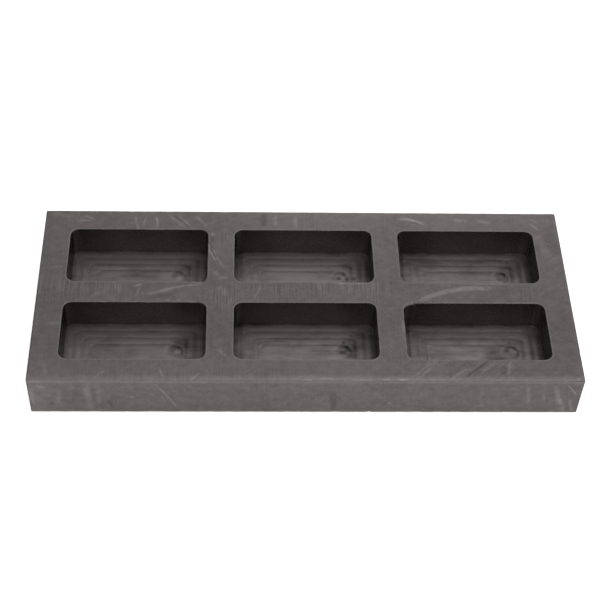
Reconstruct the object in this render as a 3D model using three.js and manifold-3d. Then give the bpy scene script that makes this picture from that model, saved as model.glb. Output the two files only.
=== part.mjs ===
// A graphite ingot mould: one machined block with open pockets, lying on its flat underside.
// Lengths are millimetres. The origin is the middle of the underside, X runs along the block, Z is up.
import * as THREE from "three";
import { mergeVertices } from "three/addons/utils/BufferGeometryUtils.js";
import Module from "manifold-3d";

// The grid of pockets.
const POCKET_COLUMNS = 3;
const POCKET_ROWS = 2;

// One pocket, which gives the cast ingot its shape.
const POCKET_LENGTH = 50;
const POCKET_WIDTH = 25;
const POCKET_DEPTH = 12.5; // down to the foot of the walls

// Graphite left standing round and under the pockets.
const CROSS_RIB = 10; // between two pockets of a row
const LONG_RIB = 10; // between the rows
const END_WALL = 10;
const SIDE_WALL = 9.5;
const FLOOR_THICKNESS = 5.5;

// Edges eased after machining.
const EDGE_BREAK = 0.3; // flat taken off every outer edge of the two large faces
const UPRIGHT_ROUND = 0.2; // corner radius left inside that flat
const RIM_BREAK = 0.15; // flat taken off each pocket's rim

// Marks that the end mill leaves. It goes round a pocket in laps, and its end is slightly hollow, so each
// lap is deepest along its edges.
const CUTTER_DIAMETER = 6; // its radius is also the radius of a pocket's upright corners
const LAP_CROWN = 0.06; // height of a lap's middle over its edges
const PLUNGE_MARK_DIAMETER = 2; // dimple where the cutter went down
const PLUNGE_MARK_DEPTH = 0.25;

// How the shapes are drawn.
const OVERRUN = 2; // reach of a cutting shape past the face that it opens
const CORNER_STEPS = 6; // straight steps in a quarter turn
const ARC_DIVISIONS = CORNER_STEPS / 2; // three.js draws an arc with two steps for each division
const DIMPLE_STEPS = 16; // straight steps round a dimple

// Places that follow from the sizes.
const CUTTER_RADIUS = CUTTER_DIAMETER / 2;
const LAP_STEP = CUTTER_RADIUS; // each lap moves over by half of the cutter
const INNER_LAPS = Math.max(0, Math.ceil((POCKET_WIDTH - CUTTER_DIAMETER) / (2 * LAP_STEP)) - 1);
const COLUMN_PITCH = POCKET_LENGTH + CROSS_RIB;
const ROW_PITCH = POCKET_WIDTH + LONG_RIB;
const BLOCK_LENGTH = POCKET_COLUMNS * COLUMN_PITCH - CROSS_RIB + 2 * END_WALL;
const BLOCK_WIDTH = POCKET_ROWS * ROW_PITCH - LONG_RIB + 2 * SIDE_WALL;
const BLOCK_HEIGHT = FLOOR_THICKNESS + POCKET_DEPTH;

const wasm = await Module();
wasm.setup();

// A closed geometry as a solid that can be joined and cut.
function solid(geometry) {
  geometry.deleteAttribute("normal");
  geometry.deleteAttribute("uv");
  const merged = mergeVertices(geometry);
  const vertProperties = merged.attributes.position.array;
  const triVerts = new Uint32Array(merged.index.array);
  return new wasm.Manifold(new wasm.Mesh({ numProp: 3, vertProperties, triVerts }));
}

// A solid as a geometry with flat-shaded faces.
function facets(shape) {
  const { numProp, vertProperties, triVerts } = shape.getMesh();
  const indexed = new THREE.BufferGeometry();
  indexed.setAttribute("position", new THREE.BufferAttribute(vertProperties, numProp));
  indexed.setIndex(new THREE.BufferAttribute(triVerts, 1));
  const geometry = indexed.toNonIndexed();
  geometry.computeVertexNormals();
  return geometry;
}

// A rectangle with round corners, centred on the origin.
function roundedRectangle(length, width, radius) {
  const x = length / 2 - radius;
  const y = width / 2 - radius;
  const quarter = Math.PI / 2;
  const outline = new THREE.Shape();
  outline.absarc(x, y, radius, 0, quarter);
  outline.absarc(-x, y, radius, quarter, 2 * quarter);
  outline.absarc(-x, -y, radius, 2 * quarter, 3 * quarter);
  outline.absarc(x, -y, radius, 3 * quarter, 4 * quarter);
  return outline;
}

// The sawn and ground block, before any pocket is cut.
function blank() {
  const length = BLOCK_LENGTH - 2 * EDGE_BREAK;
  const width = BLOCK_WIDTH - 2 * EDGE_BREAK;
  const geometry = new THREE.ExtrudeGeometry(roundedRectangle(length, width, UPRIGHT_ROUND), {
    depth: BLOCK_HEIGHT - 2 * EDGE_BREAK,
    bevelThickness: EDGE_BREAK,
    bevelSize: EDGE_BREAK,
    bevelSegments: 1,
    curveSegments: ARC_DIVISIONS,
  });
  geometry.translate(0, 0, EDGE_BREAK);
  return solid(geometry);
}

// One level of a pocket: its outline, moved in from the walls, at a height over the underside.
function level(inset, radius, height) {
  const outline = roundedRectangle(POCKET_LENGTH - 2 * inset, POCKET_WIDTH - 2 * inset, radius);
  return outline.getPoints(ARC_DIVISIONS).map((p) => new THREE.Vector3(p.x, p.y, height));
}

// The levels of a pocket, from the middle of its floor out to the walls and up past the rim. Each lap of
// the cutter is a low crown: it falls from the lap's middle to the lap's outer edge.
function pocketLevels() {
  const halfStep = LAP_STEP / 2;
  const levels = [];
  for (let lap = INNER_LAPS; lap >= 0; lap--) {
    const inset = lap * LAP_STEP;
    levels.push(level(inset + halfStep, CUTTER_RADIUS - halfStep, FLOOR_THICKNESS + LAP_CROWN));
    levels.push(level(inset, CUTTER_RADIUS, FLOOR_THICKNESS));
  }
  levels.push(level(0, CUTTER_RADIUS, BLOCK_HEIGHT - RIM_BREAK));
  levels.push(level(-RIM_BREAK, CUTTER_RADIUS + RIM_BREAK, BLOCK_HEIGHT));
  levels.push(level(-RIM_BREAK, CUTTER_RADIUS + RIM_BREAK, BLOCK_HEIGHT + OVERRUN));
  return levels;
}

// The space that a pocket takes: a skin over its levels, closed by the first and the last of them.
function clearedSpace(x, y) {
  const levels = pocketLevels();
  const count = levels[0].length;
  const index = [];
  for (let i = 1; i < count - 1; i++) {
    const top = (levels.length - 1) * count;
    index.push(0, i + 1, i);
    index.push(top, top + i, top + i + 1);
  }
  for (let ring = 1; ring < levels.length; ring++) {
    for (let i = 0; i < count; i++) {
      const inner = (ring - 1) * count + i;
      const innerNext = (ring - 1) * count + ((i + 1) % count);
      const outer = inner + count;
      const outerNext = innerNext + count;
      index.push(inner, innerNext, outerNext);
      index.push(inner, outerNext, outer);
    }
  }
  const geometry = new THREE.BufferGeometry().setFromPoints(levels.flat());
  geometry.setIndex(index);
  geometry.translate(x, y, 0);
  return solid(geometry);
}

// The dimple where the cutter went down, at one end of the innermost lap.
function plungeMark(x, y) {
  const lastOffset = (INNER_LAPS + 1) * LAP_STEP;
  const radius = PLUNGE_MARK_DIAMETER / 2;
  const profile = [
    new THREE.Vector2(0, -PLUNGE_MARK_DEPTH),
    new THREE.Vector2(radius, 0),
    new THREE.Vector2(radius, OVERRUN),
    new THREE.Vector2(0, OVERRUN),
  ];
  const geometry = new THREE.LatheGeometry(profile, DIMPLE_STEPS);
  geometry.rotateX(Math.PI / 2);
  geometry.translate(
    x + POCKET_LENGTH / 2 - lastOffset,
    y + POCKET_WIDTH / 2 - lastOffset,
    FLOOR_THICKNESS + LAP_CROWN,
  );
  return solid(geometry);
}

// The block with its grid of pockets.
function mouldBlock() {
  let block = blank();
  for (let row = 0; row < POCKET_ROWS; row++) {
    for (let column = 0; column < POCKET_COLUMNS; column++) {
      const x = (column - (POCKET_COLUMNS - 1) / 2) * COLUMN_PITCH;
      const y = (row - (POCKET_ROWS - 1) / 2) * ROW_PITCH;
      block = block.subtract(clearedSpace(x, y)).subtract(plungeMark(x, y));
    }
  }
  const graphite = new THREE.MeshStandardMaterial({
    color: 0x676261,
    roughness: 0.55,
    metalness: 0.3,
  });
  const mesh = new THREE.Mesh(facets(block), graphite);
  mesh.name = "mould_block";
  return mesh;
}

const mould = new THREE.Group();
mould.add(mouldBlock());
export default mould;
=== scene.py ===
# %% [markdown]
# # A graphite ingot mould
# This lesson dresses a small casting mould: one block of machined graphite with six open pockets, lying
# on its flat underside. A caster pours molten metal into the pockets and tips the bars out when they are
# cold. The block is a single piece, so nothing here is screwed, hinged or fitted. Everything that the eye
# enjoys is in its surface: the terraces that the end mill left on the pocket floors, the eased edges, the
# chips on its rims and the grey, faintly greasy sheen of graphite.
#
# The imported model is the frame. It fixes the size and the place of the block, and nothing below moves it.

import math

import bpy
from mathutils import Matrix, Vector


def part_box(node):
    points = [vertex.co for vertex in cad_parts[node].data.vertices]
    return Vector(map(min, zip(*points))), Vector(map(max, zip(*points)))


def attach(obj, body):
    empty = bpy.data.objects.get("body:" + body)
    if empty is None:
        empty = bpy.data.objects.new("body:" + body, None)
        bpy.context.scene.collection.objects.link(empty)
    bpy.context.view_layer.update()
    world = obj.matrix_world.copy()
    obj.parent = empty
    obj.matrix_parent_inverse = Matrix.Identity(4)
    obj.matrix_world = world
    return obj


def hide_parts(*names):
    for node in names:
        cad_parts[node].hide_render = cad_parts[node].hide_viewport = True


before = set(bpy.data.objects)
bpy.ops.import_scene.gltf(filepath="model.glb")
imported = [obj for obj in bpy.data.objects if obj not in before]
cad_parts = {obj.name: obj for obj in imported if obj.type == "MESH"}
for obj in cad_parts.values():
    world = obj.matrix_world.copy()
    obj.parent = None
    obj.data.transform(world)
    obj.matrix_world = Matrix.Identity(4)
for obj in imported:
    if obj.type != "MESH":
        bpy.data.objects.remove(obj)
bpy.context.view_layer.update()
block_low, block_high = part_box("mould_block")
print("block, mm:", [round(1000 * x, 2) for x in block_high - block_low])

# %% [markdown]
# ## Sizes
# The block's outline comes from the frame. The pockets are given here in the same terms as on a workshop
# drawing: their size, the graphite left between them, and the cutter that made them. What follows from
# these, such as the pitch of the pockets, is worked out.

# %% Sizes of the mould
MM = 0.001

COLUMNS = 3
ROWS = 2
POCKET_LENGTH = 50.2 * MM
POCKET_WIDTH = 25.2 * MM
RIB = 9.8 * MM  # between two pockets, both ways
FLOOR_THICKNESS = 5.5 * MM
CUTTER_RADIUS = 3 * MM
LAP_STEP = 3 * MM  # how far the cutter moves over for each lap

BLOCK_LENGTH = block_high.x - block_low.x
BLOCK_WIDTH = block_high.y - block_low.y
BLOCK_HEIGHT = block_high.z - block_low.z
POCKET_DEPTH = BLOCK_HEIGHT - FLOOR_THICKNESS
COLUMN_PITCH = POCKET_LENGTH + RIB
ROW_PITCH = POCKET_WIDTH + RIB
GRID_LENGTH = COLUMNS * COLUMN_PITCH
GRID_WIDTH = ROWS * ROW_PITCH
end_wall = (BLOCK_LENGTH - GRID_LENGTH + RIB) / 2
side_wall = (BLOCK_WIDTH - GRID_WIDTH + RIB) / 2
print("walls at the ends and sides, mm:", round(end_wall / MM, 2), round(side_wall / MM, 2))

# %% [markdown]
# ## Writing node trees as sums
# Both the shape and the finish are formulas here, and a formula is easier to read as a sum than as a
# picture of wires. `Value` wraps one socket and overloads the operators, so `1 - mask * 0.5` adds the two
# Math nodes that it needs. `Tree` adds every other kind of node in one way: its type, its settings and
# then the values or links of its sockets.

# %% Sockets that take part in sums
class Value:
    """A number that varies over the surface. Each operator adds one Math node to its tree."""

    def __init__(self, tree, socket):
        self.tree = tree
        self.socket = socket

    def maths(self, operation, *others):
        """One Math node, with this number as its first term."""
        return self.tree.maths(operation, self, *others)

    def __add__(self, other):
        return self.maths("ADD", other)

    def __sub__(self, other):
        return self.maths("SUBTRACT", other)

    def __rsub__(self, other):
        return self.tree.maths("SUBTRACT", other, self)

    def __mul__(self, other):
        return self.maths("MULTIPLY", other)

    def __truediv__(self, other):
        return self.maths("DIVIDE", other)

    def __rtruediv__(self, other):
        return self.tree.maths("DIVIDE", other, self)

    def __pow__(self, power):
        return self.maths("POWER", power)

    def __abs__(self):
        return self.maths("ABSOLUTE")

    __radd__ = __add__
    __rmul__ = __mul__

    def least(self, other):
        return self.maths("MINIMUM", other)

    def most(self, other):
        return self.maths("MAXIMUM", other)

    def over(self, other):
        """1 where this is greater than the other, and 0 elsewhere."""
        return self.maths("GREATER_THAN", other)

    def share(self, start, end):
        """0 up to start, 1 from end on, and a straight rise between them. End may lie below start."""
        return self.rise("LINEAR", start, end)

    def ease(self, start, end):
        """As share, with a smooth start and end."""
        return self.rise("SMOOTHSTEP", start, end)

    def rise(self, kind, start, end):
        return self.tree.value("ShaderNodeMapRange", {"clamp": True, "interpolation_type": kind}, {
            "Value": self, "From Min": start, "From Max": end,
        })


class Tree:
    """One node tree, and one way to add a node to it."""

    def __init__(self, nodes):
        self.nodes = nodes

    def feed(self, socket, value):
        if isinstance(value, Value):
            value = value.socket
        if isinstance(value, bpy.types.NodeSocket):
            self.nodes.links.new(value, socket)
        else:
            socket.default_value = value

    def node(self, kind, settings=None, sockets=None):
        made = self.nodes.nodes.new(kind)
        for name, value in (settings or {}).items():
            setattr(made, name, value)
        for name, value in (sockets or {}).items():
            self.feed(made.inputs[name], value)
        return made

    def value(self, kind, settings=None, sockets=None, output=0):
        return Value(self, self.node(kind, settings, sockets).outputs[output])

    def maths(self, operation, *terms):
        return self.value("ShaderNodeMath", {"operation": operation}, dict(enumerate(terms)))

    def vector(self, operation, sockets):
        """What one Vector Math node gives."""
        return self.node("ShaderNodeVectorMath", {"operation": operation}, sockets).outputs[0]

    def axes(self, vector):
        """The three numbers of a vector."""
        parts = self.node("ShaderNodeSeparateXYZ", None, {0: vector})
        return [Value(self, parts.outputs[axis]) for axis in "XYZ"]

    def joined(self, *axes):
        """Three numbers as one vector."""
        return self.node("ShaderNodeCombineXYZ", None, dict(zip("XYZ", axes))).outputs[0]


def geometry_group(name, inputs, outputs):
    """A new Geometry Nodes group with named number inputs. Gives its tree, its inputs and its last node."""
    group = bpy.data.node_groups.new(name, "GeometryNodeTree")
    for title, kind in outputs.items():
        group.interface.new_socket(title, in_out="OUTPUT", socket_type=kind)
    for title in inputs:
        group.interface.new_socket(title, in_out="INPUT", socket_type="NodeSocketFloat")
    tree = Tree(group)
    start = tree.node("NodeGroupInput")
    return tree, [Value(tree, start.outputs[title]) for title in inputs], tree.node("NodeGroupOutput")


# %% [markdown]
# ## One outline for every ring
# A pocket is a stack of rings, and so is the outside of the block. Every ring is a rectangle with round
# corners, drawn with the same number of steps, so that neighbouring rings join in clean four-sided faces.
# The group below finds the place of a step on such an outline. A step count that folds back on itself
# (ping-pong) gives one quarter of the outline four times, and two signs turn it into the four quarters.
#
# Where the radius falls to nothing, a corner's steps lie on one point. A later merge joins them, and the
# ring becomes a plain rectangle that fits its neighbours.

# %% A point on a round rectangle
OUTLINE_SIZES = ["Step", "Steps Across", "Steps Round", "Steps Along", "Half Length", "Half Width", "Radius"]


def outline_group():
    outputs = {"X": "NodeSocketFloat", "Y": "NodeSocketFloat"}
    tree, sizes, end = geometry_group("point on a round rectangle", OUTLINE_SIZES, outputs)
    step, across, round_steps, along, half_length, half_width, radius = sizes
    quarter = across + round_steps + along
    folded = step.maths("PINGPONG", quarter)
    turn = (folded - across).share(0, round_steps) * (math.pi / 2)
    up = folded.share(0, across)
    back = (folded - across - round_steps).share(0, along)
    x = (half_length - radius) * (1 - back) + radius * turn.maths("COSINE")
    y = (half_width - radius) * up + radius * turn.maths("SINE")
    left = 1 - abs(step - quarter * 2).over(quarter)
    lower = 1 - step.over(quarter * 2)
    tree.feed(end.inputs["X"], x * (1 - 2 * left))
    tree.feed(end.inputs["Y"], y * (1 - 2 * lower))
    return tree.nodes


OUTLINE = outline_group()
print("outline group:", len(OUTLINE.nodes), "nodes")

# %% [markdown]
# ## Rings drawn from a flat grid
# A grid is the simplest mesh with rows and columns, and the coordinates of its points say which is which:
# x gives the step round the outline and y the number of the ring. So a group starts from a flat grid and
# then moves every point to its place on its ring.

# %% A grid that becomes rings
def coordinates(tree):
    """Where each point of a mesh lies, as three numbers."""
    return tree.axes(tree.node("GeometryNodeInputPosition").outputs[0])


def ring_grid(tree, steps, rings):
    """A flat grid with a column for each step and a row for each ring. Gives it, the step and the ring."""
    grid = tree.node("GeometryNodeMeshGrid", None, {
        "Size X": steps, "Size Y": rings, "Vertices X": steps + 1, "Vertices Y": rings + 1,
    })
    x, y, _ = coordinates(tree)
    step = x + steps / 2
    ring = y + rings / 2
    return grid.outputs["Mesh"], step.maths("ROUND"), ring.maths("ROUND")


def laid_on_outline(tree, mesh, step, steps, half_length, half_width, radius, height):
    """The grid's points, moved onto their rings."""
    values = dict(zip(OUTLINE_SIZES, (step, *steps, half_length, half_width, radius)))
    outline = tree.node("GeometryNodeGroup", {"node_tree": OUTLINE}, values)
    place = tree.joined(outline.outputs["X"], outline.outputs["Y"], height)
    return tree.node("GeometryNodeSetPosition", None, {"Geometry": mesh, "Position": place}).outputs[0]


# %% [markdown]
# ## The pocket
# The end mill clears a pocket in laps, from the middle outwards. Its end is ground slightly hollow, so
# each lap is deepest along its edges and stands a few hundredths of a millimetre higher in between. Light
# that skims the floor turns those low crowns into the terraces that one sees in such a mould.
#
# The profile below is read from the middle of the floor outwards: crowned laps, the upright wall, the
# eased rim, and the flat land out to the middle of the ribs. Each stretch has its own count of rings, and
# a share from 0 to 1 that says how far along the stretch a ring is. A power of that share crowds the rings
# towards the rim, so that the smooth shading of the rounded edge doesn't run out over the flat faces.

# %% The pocket's tree
STEPS_ACROSS = 16  # from the middle of a pocket's short side to its corner
STEPS_ROUND = 6  # round a corner
STEPS_ALONG = 40  # from a corner to the middle of the long side
MIDDLE_RINGS = 14  # over the innermost ground, where the cutter went down
LAP_RINGS = 8  # over each lap
OUTER_LAPS = 3
WALL_RINGS = 4
RIM_RINGS = 3
LAND_RINGS = 6

POCKET_SIZES = {
    "Pocket Length": POCKET_LENGTH,
    "Pocket Width": POCKET_WIDTH,
    "Pocket Depth": POCKET_DEPTH,
    "Floor Thickness": FLOOR_THICKNESS,
    "Corner Radius": CUTTER_RADIUS,
    "Lap Step": LAP_STEP,
    "Lap Crown": 0.09 * MM,
    "Rim Round": 0.2 * MM,
    "Rib": RIB,
}


def stretches(ring, counts):
    """How far along each stretch of rings a ring is: one share for each count."""
    shares = []
    first = 0
    for count in counts:
        shares.append(ring.share(first, first + count))
        first = first + count
    return shares


def pocket_group():
    tree, sizes, end = geometry_group("pocket", POCKET_SIZES, {"Geometry": "NodeSocketGeometry"})
    length, width, depth, floor_height, corner, lap, crown, rim_round, rib = sizes
    counts = [MIDDLE_RINGS, LAP_RINGS * OUTER_LAPS, WALL_RINGS, RIM_RINGS, LAND_RINGS]
    steps = (STEPS_ACROSS, STEPS_ROUND, STEPS_ALONG)
    mesh, step, ring = ring_grid(tree, 4 * sum(steps), sum(counts))
    middle, laps, wall, rim, land = stretches(ring, counts)

    lapped = lap * OUTER_LAPS
    inset = width / 2 - (width / 2 - lapped) * middle - lapped * laps
    half_lap = lap / 2
    from_valley = inset.least(lapped + half_lap)
    from_valley = from_valley.maths("PINGPONG", half_lap)
    bulge = 1 - (1 - from_valley / half_lap) ** 2
    turn = rim * (math.pi / 2)
    eased = rim_round * (1 - turn.maths("COSINE"))
    out = inset - eased - (rib / 2 - rim_round) * land ** 2
    upright = 1 - (1 - wall) ** 3
    wall_height = floor_height + crown * bulge + (depth - rim_round) * upright
    height = wall_height + rim_round * turn.maths("SINE")
    half_width = width / 2 - out
    radius = ((corner - from_valley + eased) * (1 - land)).least(half_width)

    placed = laid_on_outline(tree, mesh, step, steps, length / 2 - out, half_width, radius, height)
    tree.feed(end.inputs[0], placed)
    return tree.nodes


POCKET = pocket_group()
print("pocket group:", len(POCKET.nodes), "nodes")

# %% [markdown]
# ## The outside of the block
# The pockets' land ends in a rectangle that holds the whole grid. From there the same kind of rings run
# on: out to the edge, round it, down the sides, round the lower edge and in under the block, until the
# last ring closes on the middle line. Its steps match the pockets' own, so that the seam between them
# merges point by point.

# %% The skin's tree
SKIN_LAND_RINGS = 6
EDGE_RINGS = 4
SIDE_RINGS = 6
UNDER_RINGS = 6

SKIN_SIZES = {
    "Block Length": BLOCK_LENGTH,
    "Block Width": BLOCK_WIDTH,
    "Block Height": BLOCK_HEIGHT,
    "Edge Round": 0.3 * MM,
    "Upright Round": 0.5 * MM,
}


def skin_group():
    names = ["Grid Length", "Grid Width", *SKIN_SIZES]
    tree, sizes, end = geometry_group("skin", names, {"Geometry": "NodeSocketGeometry"})
    grid_length, grid_width, length, width, height, edge, upright = sizes
    counts = [SKIN_LAND_RINGS, EDGE_RINGS, SIDE_RINGS, EDGE_RINGS, UNDER_RINGS]
    steps = (ROWS * STEPS_ACROSS, STEPS_ROUND, COLUMNS * STEPS_ALONG)
    mesh, step, ring = ring_grid(tree, 4 * sum(steps), sum(counts))
    land, top_edge, side, low_edge, under = stretches(ring, counts)

    top_turn = top_edge * (math.pi / 2)
    low_turn = low_edge * (math.pi / 2)
    top_out = top_turn.maths("SINE")
    low_in = 1 - low_turn.maths("COSINE")
    grown = edge * (top_out - low_in)
    flat_length = length / 2 - edge - grid_length / 2
    flat_width = width / 2 - edge - grid_width / 2
    under_in = (width / 2 - edge) * under ** 3
    out = 1 - (1 - land) ** 3
    half_length = grid_length / 2 + flat_length * out + grown - under_in
    half_width = grid_width / 2 + flat_width * out + grown - under_in
    drop = edge * (1 - top_turn.maths("COSINE") + low_turn.maths("SINE"))
    from_middle = side * 2 - 1
    down = (1 + from_middle.maths("SIGN") * (1 - (1 - abs(from_middle)) ** 3)) / 2
    z = height - drop - (height - edge * 2) * down
    radius = ((upright - edge) * out + grown).least(half_width)

    placed = laid_on_outline(tree, mesh, step, steps, half_length, half_width, radius, z)
    tree.feed(end.inputs[0], placed)
    return tree.nodes


SKIN = skin_group()
print("skin group:", len(SKIN.nodes), "nodes")

# %% [markdown]
# ## Chips
# Graphite is soft, and a rim that meets a hard tool loses a small shell-shaped chip. To make one, a small
# ball is set so that it dips below the surface, and every point of the mesh that the ball holds is pushed
# out to its skin. How far the ball dips sets the chip's depth, so one radius serves all of them.

# %% Where the chips are
CHIP_RADIUS = 1.5 * MM

# The place of each chip on its rim or edge, and how far its ball dips, in millimetres.
CHIPS = [
    (39.1, -5.1, 18, 0.45),
    (40.6, -4.9, 18, 0.4),
    (42.8, -4.9, 18, 0.4),
    (45.6, -4.9, 18, 0.3),
    (34.9, -12.5, 18, 0.3),
    (-12.4, 4.9, 18, 0.25),
    (-36.5, 4.9, 18, 0.2),
    (25.1, -21, 18, 0.25),
    (95, -28.6, 18, 0.4),
    (95, -27.2, 18, 0.35),
    (71.5, -39.5, 18, 0.2),
    (-95, 3, 18, 0.2),
    (-64, 39.5, 18, 0.25),
    (22, -39.5, 0, 0.35),
    (95, 12.5, 0, 0.3),
]


def rim_direction(x, y):
    """From a point on a rim towards the open middle of its pocket, square to the rim."""
    column = min(max(round(x / COLUMN_PITCH), -1), 1)
    across = y - math.copysign(ROW_PITCH / 2, y)
    along = x - column * COLUMN_PITCH
    if POCKET_WIDTH / 2 - abs(across) < POCKET_LENGTH / 2 - abs(along):
        return Vector((0, -math.copysign(1, across), 0))
    return Vector((-math.copysign(1, along), 0, 0))


def ball_places():
    """The middle of each ball, in metres."""
    places = []
    for x, y, z, dip in CHIPS:
        point = Vector((x, y, z)) * MM
        outward = Vector((0, 0, 1 if z > 0 else -1))
        for axis, length in enumerate((BLOCK_LENGTH, BLOCK_WIDTH)):
            if abs(abs(point[axis]) - length / 2) < 0.1 * MM:
                outward[axis] = math.copysign(1, point[axis])
        if outward.x == outward.y == 0:  # on no outer edge, so on the rim of a pocket
            outward += rim_direction(point.x, point.y)
        places.append(point + outward.normalized() * (CHIP_RADIUS - dip * MM))
    return places


CHIP_BALLS = ball_places()
print("chips:", len(CHIP_BALLS))

# %% [markdown]
# ## Where the cutter went down
# The end of the cutter is hollow, so where it goes down it cuts a ring and may leave a nib in its middle.
# How high the nib stands differs from pocket to pocket: below nothing, the middle is a pit. Where the
# cutter moves out to its next lap, it leaves a shallow scar.
#
# The six pockets are copies of one, so a mark that belongs to one pocket has to find it by place. The
# functions below turn a coordinate into its distance from the middle of the nearest pocket, and give the
# number that a table has for that pocket.

# %% The cutter's marks, and one pocket among six
PLUNGE_PLACE = (13.8, 0.2)  # from the middle of a pocket, in mm
RING_RADIUS = 2.6 * MM
RING_WIDTH = 1.0 * MM
RING_DEPTH = 0.05 * MM
NIB_RADIUS = 1.5 * MM
NIB_HEIGHTS = [[0.15, -0.06, -0.06], [0.15, -0.04, -0.06]]  # by row from the front, and by column, in mm
SCAR_PLACES = [(13.8, 4.7), (17.0, 7.8), (19.8, 10.6)]
SCAR_RADIUS = 1.2 * MM
SCAR_DEPTH = 0.05 * MM


def from_pocket_middle(across, pitch, count):
    """Where a coordinate lies from the middle of the nearest pocket, and that pocket's number."""
    first = -(count - 1) / 2
    number = across / pitch - first
    number = number.maths("ROUND").most(0).least(count - 1)
    return across - (number + first) * pitch, number


def by_pocket(table, column, row):
    """The number that a table has for a pocket."""
    total = 0
    for at_row, numbers in enumerate(table):
        for at_column, number in enumerate(numbers):
            here = (1 - abs(column - at_column)).most(0) * (1 - abs(row - at_row)).most(0)
            total = here * number + total
    return total


print("marks on each floor: a ring, a nib and", len(SCAR_PLACES), "scars")

# %% [markdown]
# ## From a clean block to a used one
# Five small steps follow one another on the finished mesh. Each takes it and gives it back changed:
#
# - `worn` sinks the rounded edges along their normals, more in one place than in another.
# - `plunged` gives each floor its ring, its nib and its scars.
# - `overhung` leaves a stretch of the right-hand front pocket's back rim standing over its opening.
# - `chipped` pushes the points that a ball holds out to its skin.
# - `creased` moves nothing. It marks the sharp edges by the angle between their faces, so that everything
#   else looks round.

# %% Five steps
SHARP = math.radians(40)
OVERHANG = 0.75 * MM


def moved(tree, mesh, offset):
    return tree.node("GeometryNodeSetPosition", None, {"Geometry": mesh, "Offset": offset}).outputs[0]


def worn(tree, mesh, height, wear, patch):
    normal = tree.node("GeometryNodeInputNormal").outputs[0]
    up = abs(tree.axes(normal)[2])
    z = coordinates(tree)[2]
    leaning = up.share(0.1, 0.4) * up.share(0.99, 0.9)
    edge = leaning * abs(z / height - 0.5).over(0.45)  # only near the top and the underside
    patches = tree.value("ShaderNodeTexNoise", None, {"Scale": 1 / patch, "Detail": 3.0})
    depth = wear * edge * patches.share(0.45, 0.75)
    return moved(tree, mesh, tree.vector("SCALE", {0: normal, "Scale": 0 - depth}))


def plunged(tree, mesh):
    x, y, z = coordinates(tree)
    pocket_x, column = from_pocket_middle(x, COLUMN_PITCH, COLUMNS)
    pocket_y, row = from_pocket_middle(y, ROW_PITCH, ROWS)

    def from_mark(place):
        to_x = pocket_x - place[0] * MM
        to_y = pocket_y - place[1] * MM
        return (to_x * to_x + to_y * to_y) ** 0.5

    nib_height = by_pocket(NIB_HEIGHTS, column, row) * MM
    off = from_mark(PLUNGE_PLACE)
    ring = (1 - ((off - RING_RADIUS) / RING_WIDTH) ** 2).most(0)
    rise = (1 - (off / NIB_RADIUS) ** 2).most(0) ** 2 * nib_height - ring * RING_DEPTH
    for scar in SCAR_PLACES:
        rise = rise - (1 - (from_mark(scar) / SCAR_RADIUS) ** 2).most(0) ** 2 * SCAR_DEPTH
    above_underside = z.over(BLOCK_HEIGHT / 4)
    below_walls = 1 - z.over(FLOOR_THICKNESS + 0.5 * MM)
    rise = rise * below_walls * above_underside
    return moved(tree, mesh, tree.joined(0, 0, rise))


def overhung(tree, mesh):
    x, y, z = coordinates(tree)
    stretch = x.share(33 * MM, 35 * MM) * x.share(39.3 * MM, 38.8 * MM)
    near_rim = y.share(-2.5 * MM, -4.8 * MM) * y.share(-9 * MM, -6 * MM)
    push = stretch * near_rim * z.share(7 * MM, 11 * MM) * -OVERHANG
    return moved(tree, mesh, tree.joined(0, push, 0))


def chipped(tree, mesh, radius):
    balls = tree.node("GeometryNodeJoinGeometry")
    for place in CHIP_BALLS:
        ball = tree.node("GeometryNodePoints", None, {"Count": 1, "Position": place, "Radius": radius})
        tree.feed(balls.inputs[0], ball.outputs[0])
    near = tree.node("GeometryNodeProximity", {"target_element": "POINTS"}, {0: balls.outputs[0]})
    point = tree.node("GeometryNodeInputPosition").outputs[0]
    away = tree.vector("SUBTRACT", {0: point, 1: near.outputs["Position"]})
    reach = tree.vector("SCALE", {0: tree.vector("NORMALIZE", {0: away}), "Scale": radius})
    skin = tree.vector("ADD", {0: near.outputs["Position"], 1: reach})
    held = 1 - Value(tree, near.outputs["Distance"]).over(radius)
    return tree.node("GeometryNodeSetPosition", None, {
        "Geometry": mesh, "Selection": held.over(0.5), "Position": skin,
    }).outputs[0]


def creased(tree, mesh):
    smooth = tree.node("GeometryNodeSetShadeSmooth", {"domain": "FACE"}, {
        "Geometry": mesh, "Shade Smooth": True,
    })
    angle = tree.value("GeometryNodeInputMeshEdgeAngle")
    return tree.node("GeometryNodeSetShadeSmooth", {"domain": "EDGE"}, {
        "Geometry": smooth.outputs[0], "Selection": angle.over(SHARP), "Shade Smooth": False,
    }).outputs[0]


print("the rim hangs over by, mm:", OVERHANG / MM)

# %% [markdown]
# ## The whole block
# One tree puts a pocket on each point of a small grid, joins the six copies with the skin and merges the
# seams. What comes out is one closed surface, as on the real mould. Then come the five steps and the
# material. Every size that the tree needs is one of its named inputs.

# %% The mould's tree
SIZES = {
    **POCKET_SIZES,
    **SKIN_SIZES,
    "Chip Radius": CHIP_RADIUS,
    "Edge Wear": 0.1 * MM,
    "Wear Patch": 4 * MM,
}
SEAM = 0.002 * MM  # points closer than this are one point


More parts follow.
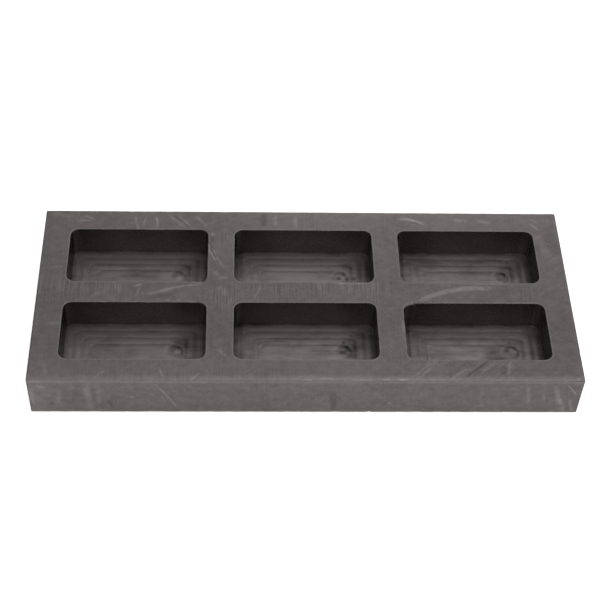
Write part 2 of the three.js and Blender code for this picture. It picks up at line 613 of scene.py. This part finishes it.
def mould_group(material):
    tree, sizes, end = geometry_group("mould", SIZES, {"Geometry": "NodeSocketGeometry"})
    size = dict(zip(SIZES, sizes))
    pocket_sizes = {name: size[name] for name in POCKET_SIZES}
    pocket = tree.node("GeometryNodeGroup", {"node_tree": POCKET}, pocket_sizes)
    column_pitch = size["Pocket Length"] + size["Rib"]
    row_pitch = size["Pocket Width"] + size["Rib"]
    places = tree.node("GeometryNodeMeshGrid", None, {
        "Size X": column_pitch * (COLUMNS - 1), "Size Y": row_pitch * (ROWS - 1),
        "Vertices X": COLUMNS, "Vertices Y": ROWS,
    })
    pockets = tree.node("GeometryNodeInstanceOnPoints", None, {
        "Points": places.outputs["Mesh"], "Instance": pocket.outputs[0],
    })
    skin = tree.node("GeometryNodeGroup", {"node_tree": SKIN}, {
        "Grid Length": column_pitch * COLUMNS,
        "Grid Width": row_pitch * ROWS,
        **{name: size[name] for name in SKIN_SIZES},
    })
    joined = tree.node("GeometryNodeJoinGeometry")
    tree.feed(joined.inputs[0], pockets.outputs[0])
    tree.feed(joined.inputs[0], skin.outputs[0])
    real = tree.node("GeometryNodeRealizeInstances", None, {"Geometry": joined.outputs[0]})
    mesh = tree.node("GeometryNodeMergeByDistance", None, {"Geometry": real.outputs[0], "Distance": SEAM})
    mesh = worn(tree, mesh.outputs[0], size["Block Height"], size["Edge Wear"], size["Wear Patch"])
    mesh = plunged(tree, mesh)
    mesh = overhung(tree, mesh)
    mesh = chipped(tree, mesh, size["Chip Radius"])
    mesh = creased(tree, mesh)
    finished = tree.node("GeometryNodeSetMaterial", None, {"Geometry": mesh, "Material": material})
    tree.feed(end.inputs[0], finished.outputs[0])
    return tree.nodes


print("named sizes of the mould:", len(SIZES))

# %% [markdown]
# ## The finish of graphite
# Graphite looks grey rather than black because it mirrors its surroundings, weakly and through a blurred
# surface: it is neither a metal nor a matt stone. The proof is in the pockets. Their walls face the same
# way as the block's front, but they mirror dark graphite in place of the white room, and look black.
#
# The material works in millimetres. It first finds where a point lies on the mould, because each region
# was made in another way: the land and the outside by a large cutter, the floors by the end of a small
# one and the walls by its flank. Each region is a mask, 1 inside it and 0 outside, that changes over a
# fraction of a millimetre.

# %% Where a point lies on the mould
GRAPHITE = bpy.data.materials.new("machined graphite")
GRAPHITE.use_nodes = True
GRAPHITE.node_tree.nodes.clear()
finish = Tree(GRAPHITE.node_tree)

HALF_LENGTH = BLOCK_LENGTH / MM / 2
HALF_WIDTH = BLOCK_WIDTH / MM / 2
TOP = BLOCK_HEIGHT / MM
FLOOR = FLOOR_THICKNESS / MM

metres = finish.node("ShaderNodeTexCoord").outputs["Object"]
place = finish.vector("SCALE", {0: metres, "Scale": 1 / MM})
x, y, z = finish.axes(place)

pocket_x, column = from_pocket_middle(x, COLUMN_PITCH / MM, COLUMNS)
pocket_y, row = from_pocket_middle(y, ROW_PITCH / MM, ROWS)
corner_x = abs(pocket_x) - (POCKET_LENGTH / 2 - CUTTER_RADIUS) / MM
corner_y = abs(pocket_y) - (POCKET_WIDTH / 2 - CUTTER_RADIUS) / MM
beyond = (corner_x.most(0) ** 2 + corner_y.most(0) ** 2) ** 0.5
from_wall = beyond + corner_x.most(corner_y).least(0) - CUTTER_RADIUS / MM

inside = from_wall.share(0.3, 0.1)
on_land = z.share(TOP - 0.3, TOP - 0.1)
on_floor = inside * z.share(FLOOR + 0.5, FLOOR + 0.2)
on_wall = inside * (1 - on_floor) * (1 - on_land)
on_outside = (1 - on_land) * (1 - inside)
to_end = HALF_LENGTH - abs(x)
to_side = HALF_WIDTH - abs(y)
on_end = on_outside * to_end.share(0.3, 0.1)
print("nodes that find a place:", len(finish.nodes.nodes))

# %% [markdown]
# ## Patches and lines
# All the fine variation is noise, stretched to the size of what it stands for: clouds where hands and
# cloths have rubbed, mottling from the grain of the graphite, and lines from the cutter. A Mapping node
# of the texture kind turns the place first and then divides it by a size, so each call says in
# millimetres how long and how wide its blotches are.

# %% Noise by the millimetre
def patches(size, turn=0.0, start=(0, 0, 0), detail=2.0, where=None):
    """Noise from 0 to 1, mostly near a half, whose blotches have this size in millimetres."""
    mapped = finish.node("ShaderNodeMapping", {"vector_type": "TEXTURE"}, {
        "Vector": where or place, "Location": start, "Rotation": (0, 0, math.radians(turn)), "Scale": size,
    })
    return finish.value("ShaderNodeTexNoise", None, {
        "Vector": mapped.outputs[0], "Scale": 1.0, "Detail": detail, "Roughness": 0.6,
    })


clouds = patches((26, 18, 14), detail=3.0) - 0.5
mottle = patches((3.2, 2.6, 2.6), detail=3.0) - 0.5
grain = patches((0.45, 0.45, 0.45)) - 0.5

across_lines = x + (y - x) * on_end
along_lines = y + z
lines = patches((0.55, 16, 1), where=finish.joined(across_lines, along_lines, 0)) - 0.5
on_middle_rib = abs(y).share(6, 4)
line_strength = patches((22, 14, 10), start=(40, 7, 3)).share(0.4, 0.58) * (on_middle_rib * 0.65 + 0.35)

wisps = patches((9, 1.3, 5), turn=35).share(0.54, 0.76)
wisps = wisps + patches((8, 1.1, 5), turn=-52, start=(5, 9, 2)).share(0.56, 0.78)
print("nodes with noise:", len(finish.nodes.nodes))

# %% [markdown]
# ## Scratches one by one
# The eye knows a surface by its few largest scratches. Each is a stroke from one place to another, bowed
# a little, widest and lightest in its middle. `reach` runs from 0 to 1 along the stroke. A product with
# 1 - reach makes both the fade towards its ends and its bow. A little noise moves the places first, so
# that no stroke is ruler straight.

# %% How a stroke is drawn
STROKE_SPREAD = 1.5  # a stroke fades to nothing this many times its width from its middle
WOBBLE = 0.8  # mm


def stroke(where, start, end, width, bow=0):
    """1 in the middle of a stroke and 0 off it. Start and end are pairs, in millimetres."""
    run = Vector((*end, 0)) - Vector((*start, 0))
    width = width * STROKE_SPREAD
    side = Vector((-run.y, run.x, 0)).normalized() / width
    offset = finish.vector("SUBTRACT", {0: where, 1: (*start, 0)})
    dot = {"operation": "DOT_PRODUCT"}
    reach = finish.value("ShaderNodeVectorMath", dot, {0: offset, 1: run / run.length_squared}, 1)
    off = finish.value("ShaderNodeVectorMath", dot, {0: offset, 1: side}, 1)
    hump = reach * (1 - reach) * 4
    off = off - hump * (bow / width)
    return (1 - off * off).most(0) * hump.share(0, 0.7)


def strokes(where, rows):
    """Adds up strokes, each with its strength."""
    total = 0
    for strength, *shape in rows:
        total = stroke(where, *shape) * strength + total
    return total


noise = finish.node("ShaderNodeTexNoise", None, {"Vector": place, "Scale": 0.35, "Detail": 2.0})
wobble = finish.vector("SCALE", {0: noise.outputs["Color"], "Scale": WOBBLE})
drawn_x, drawn_y, drawn_z = finish.axes(finish.vector("ADD", {0: place, 1: wobble}))
print("nodes with a wobble:", len(finish.nodes.nodes))

# %% [markdown]
# ## Where the scratches are
# The lists hold the marks that one would point at, on the land and on the front face. The right end of the
# front strip has so many slanting scratches that noise, stretched along them, does the rest.

# %% Strokes on the top and on the front face
# Strength, start, end, width and any bow, in millimetres. Lighter strokes have a positive strength.
TOP_STROKES = [
    # the long arc on the middle rib and the line above it
    (1.15, (38.6, -4.9), (70, 2.2), 0.9, 3.2),
    (0.5, (56, 4.7), (76, 4.5), 0.4),
    # the scuffed rib between the two left pockets at the back
    (-0.8, (-33.9, 27.6), (-32.6, 24.5), 0.3),
    (0.8, (-33, 29.4), (-32.3, 27.4), 0.5),
    (-0.7, (-34.4, 25.2), (-32.7, 21.2), 0.3),
    (0.7, (-34.6, 23.8), (-33.6, 21.6), 0.3),
    (1.5, (-34.8, 22.2), (-31.5, 14.8), 0.3, 0.2),
    (-1, (-34, 21.8), (-31.5, 16.2), 0.25, 0.1),
    (0.9, (-33.1, 21.6), (-31.5, 17.8), 0.25),
    (0.8, (-31.5, 17.6), (-28.8, 12), 0.4, 0.2),
    (0.7, (-32.2, 10), (-30.4, 8), 0.7),
    (0.8, (-31, 7.3), (-26.8, 7), 0.6),
    (0.5, (-30.4, 3), (-27.4, -1), 1),
    # the left half of the middle rib
    (1, (-57.3, -1.5), (-35.3, 4.3), 0.4, 0.9),
    (0.7, (-55.4, -0.9), (-46.4, 1.5), 0.4),
    (-0.5, (-55, -2.2), (-45.6, -0.6), 0.8),
    (1.3, (-60.4, 2.5), (-57.6, 3.9), 0.3, 0.3),
    (0.9, (-58.2, 2.6), (-59.6, -2.1), 0.25),
    (0.7, (-57.3, 0.8), (-57, -2.6), 0.25),
    (0.9, (-67.8, 5.6), (-66.9, 1.4), 0.3),
    (0.6, (-66.2, 4.6), (-65.8, 0.6), 0.3),
    (0.7, (-74.6, -0.3), (-72.4, -0.3), 0.7),
    (1, (-49.4, -3.6), (-47.4, -3.5), 0.35),
    (1, (-45.2, -3.4), (-43.4, -3.4), 0.35),
    (0.6, (-15.2, 4.6), (-18, -2.6), 0.4, 0.5),
    (0.9, (10.5, 4.5), (23, 4.6), 0.35),
    # the strip along the back
    (0.5, (-94, 37.8), (-84, 36.8), 0.8, 0.3),
    (1, (-80.6, 37.7), (-76, 34.9), 0.45),
    (0.9, (-83, 34.9), (-77, 34.9), 0.4),
    (1, (-61.4, 37.8), (-59.8, 30.4), 0.4, -0.5),
    (0.8, (-57.9, 37.8), (-58.8, 31.2), 0.35, 0.3),
    (1.1, (-53.9, 37.8), (-53.4, 30.4), 0.4, 0.2),
    (0.7, (-49.8, 38.2), (-42.2, 31.4), 0.6),
    (-0.5, (-48, 38), (-40.8, 31.4), 0.5),
    (0.7, (-46.2, 38), (-40.4, 31.6), 0.45),
    (0.8, (-39.6, 37.2), (-37.4, 35.8), 0.8),
    (0.8, (-38.4, 36.8), (-34.8, 31.6), 0.4),
    (-0.65, (-14, 39.2), (-14, 31.8), 1),
    (0.7, (-9.6, 39), (-9.7, 32.2), 0.5),
    (0.7, (-2.4, 38), (-2.2, 31), 0.8),
    (1.1, (35.8, 36.7), (43.4, 35.2), 0.45, 0.2),
    (1.1, (36.6, 38), (47.2, 32.9), 0.5, 0.3),
    (0.9, (56.4, 36.2), (62.6, 35.7), 0.7),
    (0.7, (65, 36.2), (71, 34.6), 0.7),
    (0.8, (84.2, 37.6), (88.8, 35), 0.45),
    (0.9, (85.2, 34.6), (88.4, 31.2), 0.5),
    (0.6, (86, 30), (89.8, 16.5), 1.4, 0.8),
    # the ends
    (0.6, (-89.4, -14.3), (-83.8, -14.2), 0.5),
    (0.5, (-90, 12.1), (-86, 12.1), 0.5),
    (1.2, (92.4, -38.1), (93.7, -38.1), 0.4),
    # the strip along the front
    (0.6, (-88.9, -31.2), (-88.1, -38), 0.6),
    (0.7, (-72.4, -38.6), (-68.1, -34.6), 0.35),
    (0.9, (-50.1, -33.4), (-48.4, -38), 0.35),
    (1, (-39.4, -39.2), (-36, -35.6), 0.3),
    (0.6, (-30.8, -25.2), (-25.8, -29.9), 0.5),
    (0.8, (-1.6, -38.6), (2.4, -38.6), 0.3),
    (0.8, (4.6, -38.2), (9.6, -38.4), 0.3, 0.2),
    (0.7, (15.4, -38.8), (24.6, -38.8), 0.3),
    (1.3, (25.9, -38.4), (28.5, -38.2), 0.35),
    (1.3, (31.4, -38.4), (34.6, -38.2), 0.35),
    (0.6, (37, -37.2), (43.2, -30.4), 0.4),
    (0.6, (39.4, -37), (46.4, -30), 0.4, 0.2),
    (0.6, (49.4, -38), (57, -33.2), 0.5, 0.2),
    (-0.65, (53.4, -38.2), (63.2, -30.2), 0.5),
    (0.5, (60.2, -35), (65.6, -30.8), 0.5),
    (-0.5, (66.8, -36.4), (69.4, -32.6), 1),
    (0.65, (70.6, -30.2), (69.2, -37.6), 0.4, -0.2),
    (0.8, (34.4, -12), (34.5, -18), 0.3),
]
FRONT_STROKES = [
    (0.8, (-93.6, 16.4), (-93.6, 4.6), 0.8),
    (0.7, (-91.8, 15.5), (-88.2, 14.3), 0.4, -0.2),
    (-0.5, (-88, 5.4), (-85.6, 5.4), 0.8),
    (0.5, (-84, 13.8), (-84.7, 4.6), 0.8),
    (0.7, (-74.6, 17), (-74, 2), 1),
    (0.6, (-71, 17), (-70.6, 5), 0.8),
    (-0.6, (-67.8, 7.6), (-65.8, 1.2), 0.6),
    (0.9, (-60, 9.1), (-58.4, 9.1), 0.5),
    (1, (-51.4, 16.6), (-44, 3), 0.35, 0.2),
    (-0.5, (9.4, 13), (9.8, 1), 1),
    (1, (28.4, 5.9), (30.2, 5.7), 0.5),
    (0.6, (70.2, 14.2), (74.2, 13.1), 0.4, 0.3),
    (0.7, (76.4, 15.6), (77.6, 4.8), 0.6),
    (0.5, (82, 12.2), (82.9, 6.4), 0.5),
    (0.9, (85.5, 16.4), (88.7, 4), 0.8),
    (0.9, (88.4, 9), (90.1, 0.8), 0.7),
    (1.2, (89.6, 16.6), (93.7, 10.4), 0.3),
    (1, (91.7, 8.4), (93.5, 1), 0.5),
]
on_front = on_outside * y.share(-HALF_WIDTH + 0.3, -HALF_WIDTH + 0.1)
top_scratches = strokes(finish.joined(drawn_x, drawn_y, 0), TOP_STROKES) * on_land
front_scratches = strokes(finish.joined(drawn_x, drawn_z, 0), FRONT_STROKES) * on_front
scratches = (top_scratches + front_scratches) * (mottle * 1.5 + grain + 1).most(0)
slanting = patches((9, 0.8, 5), turn=42, start=(2, 5, 1)) - 0.5
scratches = scratches + slanting * y.ease(-27, -31) * x.ease(33, 40) * x.ease(80, 66) * on_land * 1.6
print("nodes with scratches:", len(finish.nodes.nodes))

# %% [markdown]
# ## Edges, rims and paler places
# The edges are lighter for a millimetre or two on either side, most along the front: partly burnish from
# handling and partly a painted highlight. A painted highlight also runs along the rims of the pockets, and
# painted shade lies on the left end. The lower edge has a painted shadow where it meets the table, with a
# painted light line just above. Whole parts of the land are paler, such as the strip along the back.

# %% Edges and paler places
below_top = TOP - z
# The edges are lighter: partly burnish from handling and partly a painted highlight.
from_front_edge = y + HALF_WIDTH + (patches((6, 2, 2), start=(3, 3, 3)) - 0.5) * 1.6
front_band = from_front_edge.ease(3.2, 0.5) * below_top.ease(1.6, 0.8) * (on_land * 0.11 + 0.1)
from_top_edge = to_end.least(to_side).most(0) + below_top
burnish_and_highlight = (front_band + from_top_edge.ease(2.4, 0.2) * 0.05) * (patches((7, 3, 3)) * 0.6 + 0.7)
# A painted highlight along the rims of the pockets.
rim_glint = abs(from_wall - 0.3).share(0.45, 0.1) * on_land * 0.22
# A painted shadow at the foot of the block, with a painted light line just above it.
foot = (z.share(0.5, 0.2) * -0.35 + z.share(1.4, 1.0) * z.share(0.4, 0.7) * 0.18) * on_outside
# Painted shade on the left end and along its edges, strongest towards the front.
left_end_shade = x.share(-HALF_LENGTH + 0.9, -HALF_LENGTH + 0.3) * (1 - y.share(-20, 30) * 0.6) * 0.3

# Paler places: along the back, towards the left of the land, the left front corner and part of the front
# strip.
paler_back = y.ease(22, 36) * x.ease(-70, 40) * 0.17
paler_left = x.ease(-30, -85) * on_land * 0.12
paler_corner = x.ease(-80, -94) * y.ease(5, -30) * 0.15
paler_front = y.ease(-27, -33) * x.ease(65, 10) * on_land * 0.1
paler_places = paler_back + paler_left + paler_corner + paler_front
print("nodes with edges:", len(finish.nodes.nodes))

# %% [markdown]
# ## The laps on the floors
# The laps follow the walls, so their tone is read by the distance from the wall. `lap_share` rises from 0
# to 1 over each lap and starts again at the next. Painted shade darkens the valleys between the laps and
# the foot of the walls. At the pockets' right and left ends, painted light and shade shows the laps as
# bands. The cutter's fine feed marks are noise that changes fast across the laps and slowly along them.
#
# The floors also have broad painted shade and light, which differ from column to column. In the right-hand
# pockets painted light and shade makes the laps more even than in the others.

# %% Laps, feed marks and broad shades
lap_step = LAP_STEP / MM
from_valley = from_wall.maths("PINGPONG", lap_step / 2)
laps_in = from_wall / lap_step
lap_share = laps_in.maths("FRACT")
towards_long_side = corner_y - corner_x
on_long_side = towards_long_side.share(-1, 1)
on_short_side = 1 - towards_long_side.share(0, 4) * 0.8
# Painted shade in the valleys between the laps and at the foot of the walls.
valley_shade = from_valley.share(0.7, 0.1) * on_long_side * 0.12 + from_wall.ease(-1.6, 0) * 0.2
# Painted bands of light and shade on the laps at the pockets' right and left ends.
right_band_shade = lap_share.ease(0.2, 0.62) * lap_share.ease(1.0, 0.7) * pocket_x.share(12.5, 16) * on_short_side
left_band_light_and_shade = (lap_share - 0.55) * pocket_x.share(-12.5, -16) * on_short_side
smears = patches((9, 3.5, 3.5), start=(8, 1, 1)) - 0.5
feed_place = finish.joined(from_wall * 1.1, pocket_x * 0.05, pocket_y * 0.05 + row * 3 + column)
feed = finish.value("ShaderNodeTexNoise", None, {"Vector": feed_place, "Scale": 1.0, "Detail": 3.0}) - 0.5

# Painted shade and light over the floors, column by column, along their walls and at their back corners.
right_shade = (2 - column) * (pocket_x.ease(11, 20) * 0.15 - 0.07)
back_shade = pocket_y.ease(2, 10) * 0.1
even_laps = column.over(1.5) * (1 - row * 0.6) * on_long_side * from_wall.share(-9.5, -9)
lap_shade = (lap_share - 0.5) * even_laps * 0.28
left_shade = pocket_x.share(-21.5, -22.5) * (column.least(1) * 0.28 + 0.05)
corner_shade = pocket_y.ease(6, 11) * (pocket_x.ease(-8, -24) * 0.15 - pocket_x.ease(14, 21) * 0.4)
floor_shade = right_shade - back_shade - lap_shade + left_shade + corner_shade
print("nodes with laps:", len(finish.nodes.nodes))

# %% [markdown]
# ## Spots on the floors
# The place where the cutter went down shows as a ring, with painted shade on its side towards the back
# right corner and a lighter ring around its outer edge. Around it lie chips, nibs and pits, each pocket with
# its own. The spots are painted light and shade: broad ones over the floors, and small ones on the light
# and dark sides of the chips, nibs and pits. Every spot is strongest in its middle and fades out at its
# radius.

# %% Rings and spots
plunge_x = pocket_x - PLUNGE_PLACE[0]
plunge_y = pocket_y - PLUNGE_PLACE[1]
off_plunge = (plunge_x * plunge_x + plunge_y * plunge_y) ** 0.5
towards_corner = ((plunge_x + plunge_y) / (off_plunge + 0.1)).ease(-0.6, 1)
# Painted shade on the ring's side towards the back right corner.
shaded_crescent = abs(off_plunge - RING_RADIUS / MM).share(0.9, 0.2) * towards_corner
plunge_tone = abs(off_plunge - 3.5).share(0.7, 0.1) * 0.08 - shaded_crescent * 0.28

# Strength, middle and radius, in millimetres.
FLOOR_SPOTS = [
    # left, back and front
    (-0.22, (-58, 15), 10),
    (0.12, (-75, 18.5), 8),
    (-0.18, (-45, 21.5), 5),
    (0.25, (-45.6, 17.6), 1.4),
    (-0.12, (-41.7, 22.3), 2.4),
    (-0.28, (-71.5, -15.5), 8.5),
    (-0.22, (-44.5, -15.5), 5),
    (0.3, (-45.1, -17.3), 1.5),
    (0.15, (-47.5, -19.7), 1.6),
    (0.15, (-47.1, -13.4), 0.8),
    (-0.15, (-46.2, -12.7), 0.6),
    (-0.15, (-42.8, -9), 0.7),
    # middle, back
    (0.2, (-4, 18.5), 14),
    (-0.15, (15.5, 23), 4),
    (-0.5, (13.4, 17.5), 1.2),
    (0.25, (15.1, 17.8), 1),
    (-0.5, (16.5, 17), 1),
    (0.2, (16.8, 18.9), 0.9),
    (-0.45, (19.1, 17.3), 1.1),
    (0.25, (19.6, 19), 1),
    (-0.2, (15.3, 19.9), 1.3),
    (-0.15, (18.4, 22.2), 1.3),
    (-0.12, (17.1, 25.4), 1.3),
    (-0.35, (20, 28), 1),
    # middle, front
    (-0.32, (15.5, -15), 6),
    (-0.15, (17, -18), 4),
    (-0.38, (13.4, -17.4), 1.7),
    (0.15, (15.1, -17.3), 0.8),
    (-0.15, (16.7, -19), 1.6),
    (-0.5, (14, -12.9), 0.8),
    (-0.4, (16.9, -9.8), 0.8),
    (-0.45, (19.8, -6.9), 0.8),
    # right, back
    (-0.08, (38.5, 21), 6),
    (-0.35, (77, 21), 6),
    (-0.4, (73.4, 17.8), 1.8),
    (-0.12, (74.3, 23), 1),
    (-0.3, (77, 25.8), 1),
    (-0.12, (79.7, 28.9), 0.9),
    # right, front
    (-0.18, (75.5, -14), 6.5),
    (-0.15, (42, -18), 12),
    (-0.5, (69, -20), 7.5),
    (-0.25, (76.5, -18.5), 4),
    (-0.22, (72.5, -16.4), 1.6),
    (-0.15, (73.2, -18.4), 1.2),
    (0.45, (75.1, -16.9), 1),
    (-0.2, (76.1, -18.2), 1),
    (-0.25, (73.6, -12.7), 0.8),
]

plan = finish.joined(x, y, 0)
spots = 0
# Spots of painted light where the strength is positive, and of painted shade where it is negative.
for strength, middle, radius in FLOOR_SPOTS:
    off = finish.value("ShaderNodeVectorMath", {"operation": "DISTANCE"}, {0: plan, 1: (*middle, 0)}, 1)
    spots = off.ease(radius, radius * 0.3) * strength + spots
print("nodes with spots:", len(finish.nodes.nodes))

# %% [markdown]
# ## The painted shade on the walls
# The walls see little but each other. Painted shade and light on top of that makes the back walls darkest
# at their left ends, and the walls on the left and on the right paler towards the back.

# %% Walls
on_left_wall = pocket_x.share(-24.7, -24.9)
on_right_wall = pocket_x.share(24.7, 24.9)
wall_shade = 1 - pocket_x.ease(-6, -24) * 0.35 - on_left_wall * (0.55 - pocket_y.ease(-6, 12) * 0.8)
wall_shade = wall_shade + on_right_wall * (pocket_y.ease(-12, 12) * 1.8 - 0.3)
wall_shade = wall_shade * (row * 0.07 + 0.75)
print("nodes with walls:", len(finish.nodes.nodes))

# %% [markdown]
# ## One tone and one colour
# Everything above is added up as a tone around 1. A colour mix turns it into a colour: it runs from black
# to twice the average colour, so that a tone of 1 lands on the average, and graphite keeps its faintly
# warm grey in light and shade. Each region has a tone of its own, and the walls are the smoothest.
#
# The shader is mostly metallic, because a metal's mirror image takes the base colour. The tint makes that
# image weaker still where the surface is seen at a low angle. The relief is in millimetres. It only tilts
# the normal, for marks too fine to be part of the mesh.

# %% Tone, roughness, relief and the shader
AVERAGE = (0.15, 0.133, 0.132)
FLOOR_LIFT = 0.57  # how much paler the floors are than the land
# Painted shade on the outer faces, which offsets the light from the glowing floor.
OUTSIDE_SHADE = 0.075  # how much darker the outer faces are
METAL_SHARE = 0.9
EDGE_TINT = 0.65
ROUGHNESS = 0.5

on_skin = 1 - on_floor - on_wall
texture = 1 - on_floor * 0.5 - on_wall * 0.85
tone = (clouds * 0.4 + mottle * 0.65 + grain * 0.55) * texture - 0.04
tone = tone + (lines * line_strength * (1.4 - on_outside) + wisps * 0.12 + scratches * 0.36) * on_skin
tone = tone + (burnish_and_highlight * 1.4 + rim_glint + paler_places + foot - left_end_shade) * on_skin
tone = tone + on_floor * (feed * 0.25 + smears * 1.2 + plunge_tone + spots + 0.12)
tone = tone - on_floor * (valley_shade + right_band_shade * 0.28 - left_band_light_and_shade * 0.35 + floor_shade)
region = (1 + on_floor * FLOOR_LIFT - on_outside * OUTSIDE_SHADE) * (1 - on_wall + on_wall * wall_shade)
tone = (1 + tone) * region

bright = tuple(2 * part for part in AVERAGE)
colour = finish.node("ShaderNodeMix", {"data_type": "RGBA"}, {
    "Factor": tone * 0.5, 6: (0, 0, 0, 1), 7: (*bright, 1),
})
roughness = ROUGHNESS - on_wall * 0.22 + mottle * 0.12 - scratches * 0.04 - burnish_and_highlight * 0.3

relief = (grain * 0.012 + mottle * 0.03) * (texture - on_wall * 0.1) - wisps * 0.003
relief = relief + lines * line_strength * on_land * 0.012 + on_floor * (feed + spots) * 0.02
bump = finish.node("ShaderNodeBump", None, {"Height": relief, "Distance": MM, "Strength": 1.0})
shader = finish.node("ShaderNodeBsdfPrincipled", None, {
    "Base Color": colour.outputs[2],
    "Roughness": roughness,
    "Metallic": METAL_SHARE,
    "Specular Tint": (EDGE_TINT, EDGE_TINT, EDGE_TINT, 1),
    "Normal": bump.outputs[0],
})
surface = finish.node("ShaderNodeOutputMaterial")
finish.feed(surface.inputs["Surface"], shader.outputs[0])
print("nodes in the finish:", len(finish.nodes.nodes))

# %% [markdown]
# ## Build the block
# The group runs once, as a modifier on an empty object. Its inputs are set by their identifiers before
# anything is worked out, and what it makes is kept as a plain mesh with the material on it. The last
# two lines hide the frame's part that it stands for and hang it on the body that carries it.

# %% From a tree to a plain mesh
def in_scene(name, data):
    """A new object in the scene."""
    made = bpy.data.objects.new(name, data)
    bpy.context.scene.collection.objects.link(made)
    return made


def plain_mesh(name, group, values):
    """Runs a Geometry Nodes group on an empty object and keeps what it makes as a plain mesh."""
    seed = in_scene(name + "_seed", bpy.data.meshes.new(name + "_seed"))
    modifier = seed.modifiers.new("shape", "NODES")
    modifier.node_group = group
    for socket in group.interface.items_tree:
        if socket.in_out == "INPUT":
            modifier[socket.identifier] = values[socket.name]
    graph = bpy.context.evaluated_depsgraph_get()
    mesh = bpy.data.meshes.new_from_object(seed.evaluated_get(graph), depsgraph=graph)
    bpy.data.objects.remove(seed)
    mesh.name = name
    return in_scene(name, mesh)


mould = plain_mesh("graphite_mould", mould_group(GRAPHITE), SIZES)
low_corner, high_corner = Vector(mould.bound_box[0]), Vector(mould.bound_box[6])
print("mould:", len(mould.data.vertices), "points and",
      sum(len(face.vertices) - 2 for face in mould.data.polygons), "triangles")
print("its box, mm:", [round(length / MM, 2) for length in high_corner - low_corner])

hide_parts("mould_block")
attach(mould, "root")

# %% [markdown]
# ## Floor
# A product photograph on white. The pale floor glows a little, as a light table does, so that it stays
# white to the foot of the block.

# %% Floor
FLOOR_SIDE = 6.0
FLOOR_GREY = 0.9
FLOOR_ROUGHNESS = 0.9
FLOOR_GLOW = 0.69
FLOOR_DROP = 0.01 * MM  # below the block's underside, so that the two don't share a plane

half = FLOOR_SIDE / 2
mesh = bpy.data.meshes.new("floor")
corners = [(-half, -half, 0), (half, -half, 0), (half, half, 0), (-half, half, 0)]
mesh.from_pydata(corners, [], [(0, 1, 2, 3)])
floor = in_scene("floor", mesh)
floor.location.z = -FLOOR_DROP
paper = bpy.data.materials.new("white light table")
paper.use_nodes = True
sockets = paper.node_tree.nodes["Principled BSDF"].inputs
sockets["Base Color"].default_value = (FLOOR_GREY, FLOOR_GREY, FLOOR_GREY, 1)
sockets["Roughness"].default_value = FLOOR_ROUGHNESS
sockets["Emission Color"].default_value = (1, 1, 1, 1)
sockets["Emission Strength"].default_value = FLOOR_GLOW
mesh.materials.append(paper)
print("floor, m:", FLOOR_SIDE)

# %% [markdown]
# ## Light
# A white room lights the block evenly, and four soft round lights give it shape. The strongest stands
# high on the right, and so the left walls of the pockets are lit and the right ones lie in shade. Two
# behind the block skim the floors of the pockets and bring out the laps. The one in front lights the
# front face.

# %% Light
LIGHT_DISTANCE = 1.1
LIGHT_SIZE = 0.5
ROOM_LIGHT = 0.4


def soft_light(name, bearing, climb, power):
    """A round soft light. Bearing goes round from the back by the right, and climb up from the floor."""
    lamp = bpy.data.lights.new(name, "AREA")
    lamp.shape = "DISK"
    lamp.size = LIGHT_SIZE
    lamp.energy = power
    turn = math.radians(bearing)
    rise = math.radians(climb)
    flat = math.cos(rise)
    place = LIGHT_DISTANCE * Vector((math.sin(turn) * flat, math.cos(turn) * flat, math.sin(rise)))
    holder = in_scene(name, lamp)
    holder.location = place
    holder.rotation_euler = (-place).to_track_quat("-Z", "Y").to_euler()


world = bpy.data.worlds.new("white room")
world.use_nodes = True
background = world.node_tree.nodes["Background"].inputs
background["Color"].default_value = (1, 1, 1, 1)
background["Strength"].default_value = ROOM_LIGHT
bpy.context.scene.world = world
soft_light("high light on the right", bearing=90, climb=60, power=2.6)
soft_light("low light behind", bearing=0, climb=30, power=1.4)
soft_light("high light behind", bearing=20, climb=55, power=0.7)
soft_light("light in front", bearing=180, climb=45, power=1.1)
bpy.context.scene.view_settings.view_transform = "Standard"
print("lights:", len(bpy.data.lights))

# %% [markdown]
# ## Camera
# The photograph looks down on the mould from a little left of its middle. The camera's place and lens
# were found from the block's corners and the pockets' edges.

# %% Camera
CAMERA_PLACE = Vector((-21.6, -334.4, 409.1)) * MM
CAMERA_AIM = Vector((-1.8, -3.6, 18.0)) * MM
CAMERA_ROLL = math.radians(2.86)
SENSOR_WIDTH = 36  # mm
FOCAL_LENGTH = 86.74  # mm

lens = bpy.data.cameras.new("camera")
lens.sensor_width = SENSOR_WIDTH
lens.lens = FOCAL_LENGTH
camera = in_scene("camera", lens)
turn = (CAMERA_AIM - CAMERA_PLACE).to_track_quat("-Z", "Y").to_matrix()
turn = turn @ Matrix.Rotation(CAMERA_ROLL, 3, "Z")
camera.matrix_world = Matrix.Translation(CAMERA_PLACE) @ turn.to_4x4()
bpy.context.scene.camera = camera
print("camera to the block's top, mm:", round((CAMERA_AIM - CAMERA_PLACE).length / MM))
